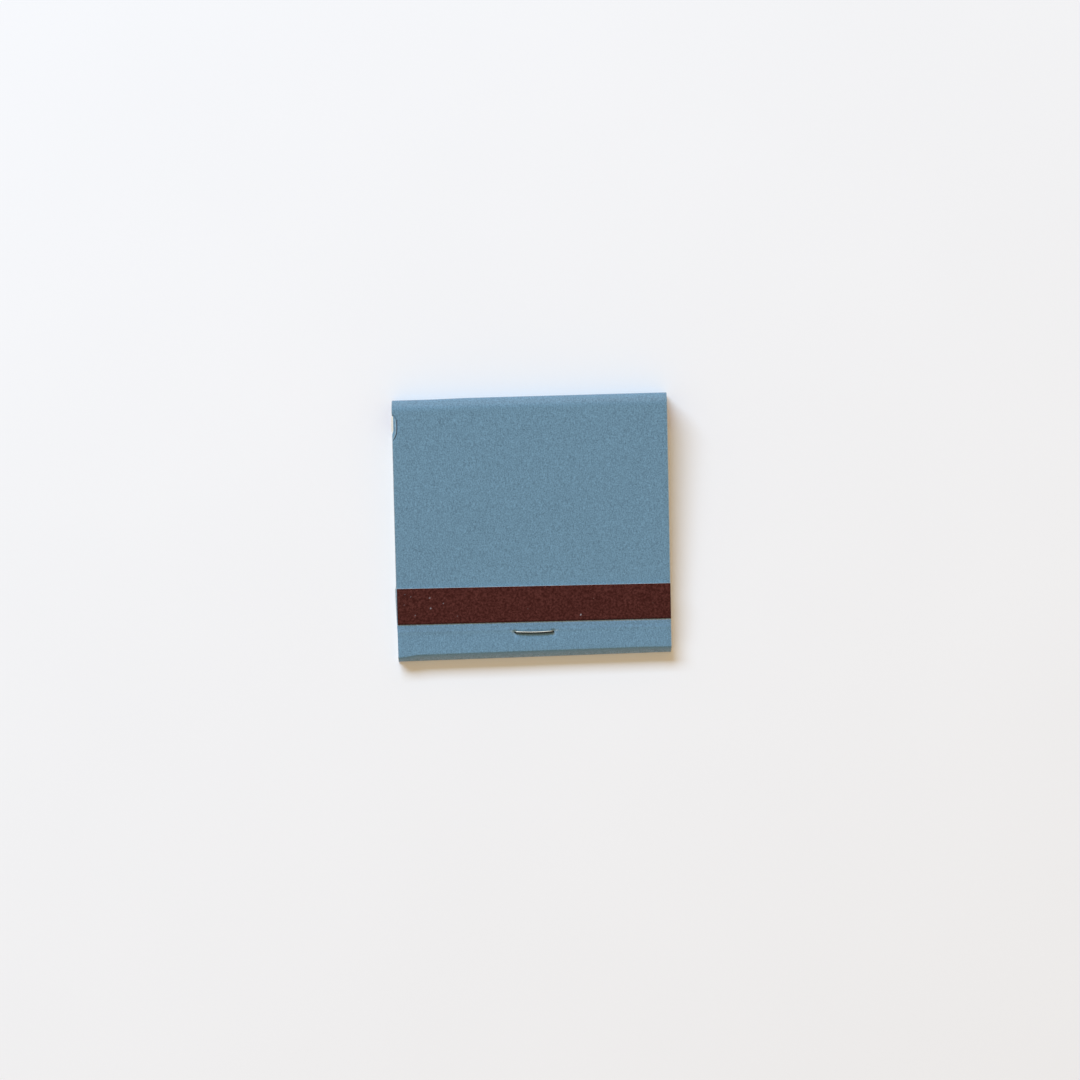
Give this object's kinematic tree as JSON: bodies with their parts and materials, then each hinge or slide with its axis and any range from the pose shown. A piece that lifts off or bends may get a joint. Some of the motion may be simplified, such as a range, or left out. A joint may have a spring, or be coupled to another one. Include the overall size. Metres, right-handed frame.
{
  "type": "matchbook",
  "caption": "Closed front-strike matchbook: a blue card cover folded round two combs of paper matches, stapled at the foot, lying on its back.",
  "frame": {"origin": "middle of the back cover's outer face, on the surface that the book lies on", "axes": "+X across the book along its folds, +Y from the bottom fold to the saddle, +Z out of the back through the front cover"},
  "size_m": [0.0508, 0.0481, 0.0053],
  "materials": {
    "blue_card": "matte",
    "striker_coat": "matte",
    "stapling_wire": "satin",
    "match_board": "matte",
    "head_compound": "matte"
  },
  "bodies": {
    "book": {"cover_back": "blue_card", "striker_strip": "striker_coat", "staple": "stapling_wire", "comb_rear": "match_board", "comb_front": "match_board", "head_rear_01": "head_compound", "head_rear_02": "head_compound", "head_rear_03": "head_compound", "head_rear_04": "head_compound", "head_rear_05": "head_compound", "head_rear_06": "head_compound", "head_rear_07": "head_compound", "head_rear_08": "head_compound", "head_rear_09": "head_compound", "head_rear_10": "head_compound", "head_rear_11": "head_compound", "head_rear_12": "head_compound", "head_rear_13": "head_compound", "head_rear_14": "head_compound", "head_rear_15": "head_compound", "head_front_01": "head_compound", "head_front_02": "head_compound", "head_front_03": "head_compound", "head_front_04": "head_compound", "head_front_05": "head_compound", "head_front_06": "head_compound", "head_front_07": "head_compound", "head_front_08": "head_compound", "head_front_09": "head_compound", "head_front_10": "head_compound", "head_front_11": "head_compound", "head_front_12": "head_compound", "head_front_13": "head_compound", "head_front_14": "head_compound", "head_front_15": "head_compound"},
    "saddle": {"cover_saddle": "blue_card"},
    "front": {"cover_front": "blue_card"}
  },
  "joints": [
    {"name": "back_fold", "type": "hinge", "parent": "book", "child": "saddle", "pos_m": [0, 0.02392, 0.00017], "axis": [-1, 0, 0], "range_deg": [0, 90]},
    {"name": "front_fold", "type": "hinge", "parent": "saddle", "child": "front", "pos_m": [0, 0.02355, 0.00481], "axis": [-1, 0, 0], "range_deg": [0, 93]}
  ]
}
